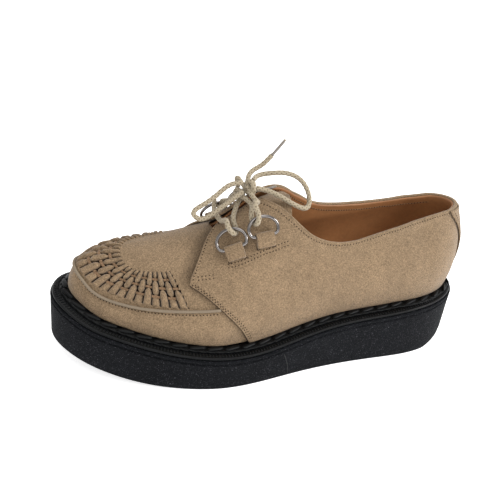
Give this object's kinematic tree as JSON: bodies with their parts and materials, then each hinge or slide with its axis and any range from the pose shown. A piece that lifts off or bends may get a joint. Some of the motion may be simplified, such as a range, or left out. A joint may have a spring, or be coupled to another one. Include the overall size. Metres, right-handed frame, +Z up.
{
  "type": "derby shoe",
  "caption": "Suede derby shoe with a woven apron toe, D-ring lacing with a tied bow, and a thick flat crepe wedge sole.",
  "frame": {"origin": "on the floor, in the middle of the sole's footprint", "axes": "+Z up, +X toward the heel, -X toward the toe, -Y toward the outer side of this left shoe"},
  "size_m": [0.3062, 0.1224, 0.1542],
  "materials": {
    "apron_piping": "greige piping",
    "back_strap": "beige suede",
    "d_ring_1_inner": "nickel",
    "d_ring_1_outer": "nickel",
    "d_ring_2_inner": "nickel",
    "d_ring_2_outer": "nickel",
    "insole": "tan smooth leather",
    "lace_crossings": "round braided cord",
    "lace_end_lower": "round braided cord",
    "lace_end_upper": "round braided cord",
    "lace_knot": "round braided cord",
    "lace_loop_left": "round braided cord",
    "lace_loop_right": "round braided cord",
    "lace_strand_inner": "round braided cord",
    "lace_strand_outer": "round braided cord",
    "midsole": "smooth satin edge",
    "outsole": "matte grained crepe",
    "quarter_inner": "beige suede",
    "quarter_outer": "beige suede",
    "ring_tab_1_inner": "beige suede",
    "ring_tab_1_outer": "beige suede",
    "ring_tab_2_inner": "beige suede",
    "ring_tab_2_outer": "beige suede",
    "tongue": "beige suede",
    "upper": "beige suede, woven apron, tan lining",
    "welt": "black stitched welt"
  },
  "bodies": {
    "root": {"apron_piping": "apron_piping", "back_strap": "back_strap", "d_ring_1_inner": "d_ring_1_inner", "d_ring_1_outer": "d_ring_1_outer", "d_ring_2_inner": "d_ring_2_inner", "d_ring_2_outer": "d_ring_2_outer", "insole": "insole", "lace_crossings": "lace_crossings", "lace_end_lower": "lace_end_lower", "lace_end_upper": "lace_end_upper", "lace_knot": "lace_knot", "lace_loop_left": "lace_loop_left", "lace_loop_right": "lace_loop_right", "lace_strand_inner": "lace_strand_inner", "lace_strand_outer": "lace_strand_outer", "midsole": "midsole", "outsole": "outsole", "quarter_inner": "quarter_inner", "quarter_outer": "quarter_outer", "ring_tab_1_inner": "ring_tab_1_inner", "ring_tab_1_outer": "ring_tab_1_outer", "ring_tab_2_inner": "ring_tab_2_inner", "ring_tab_2_outer": "ring_tab_2_outer", "tongue": "tongue", "upper": "upper", "welt": "welt"}
  },
  "joints": []
}
